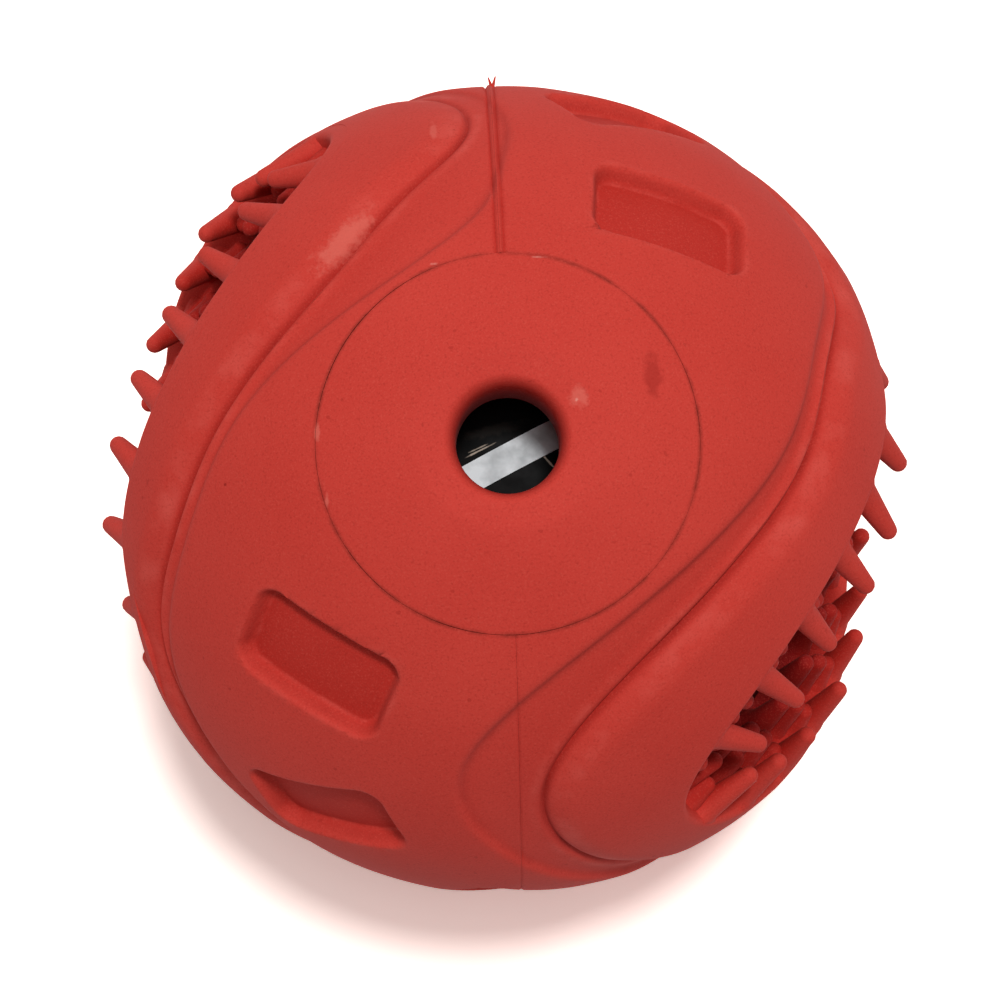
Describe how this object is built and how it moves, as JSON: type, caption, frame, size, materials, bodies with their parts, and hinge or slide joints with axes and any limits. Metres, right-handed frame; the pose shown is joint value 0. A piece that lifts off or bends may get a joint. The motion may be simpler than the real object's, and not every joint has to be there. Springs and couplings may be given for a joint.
{
  "type": "rubber dog chew toy",
  "caption": "Hollow rubber chew ball with a feed hole, pocketed band, bristle-lined side slots and a loose inner ball that spins in its cavity.",
  "frame": {"origin": "centre of the ball", "axes": "+Z along the feed-hole axis, out of the hole that the picture shows; +X through the middle of the right slot, square to the parting plane; +Y in the parting plane"},
  "size_m": [0.087, 0.0898, 0.0882],
  "materials": {
    "red_rubber": "matt, dusty red natural rubber",
    "black_shell": "smooth black plastic",
    "pale_band": "pale grey, slightly satin"
  },
  "bodies": {
    "shell": {"shell_half_right": "red_rubber", "shell_half_left": "red_rubber", "feed_disc_top": "red_rubber", "feed_disc_bottom": "red_rubber", "bristle_row_right_upper": "red_rubber", "bristle_row_right_lower": "red_rubber", "bristle_row_left_upper": "red_rubber", "bristle_row_left_lower": "red_rubber"},
    "inner_ball": {"inner_ball_half_a": "black_shell", "inner_ball_half_b": "black_shell", "inner_ball_band": "pale_band"}
  },
  "joints": [
    {"name": "inner_ball_spin", "type": "hinge", "parent": "shell", "child": "inner_ball", "pos_m": [0, 0, -0.0042], "axis": [0, 0, 1], "continuous": true}
  ]
}
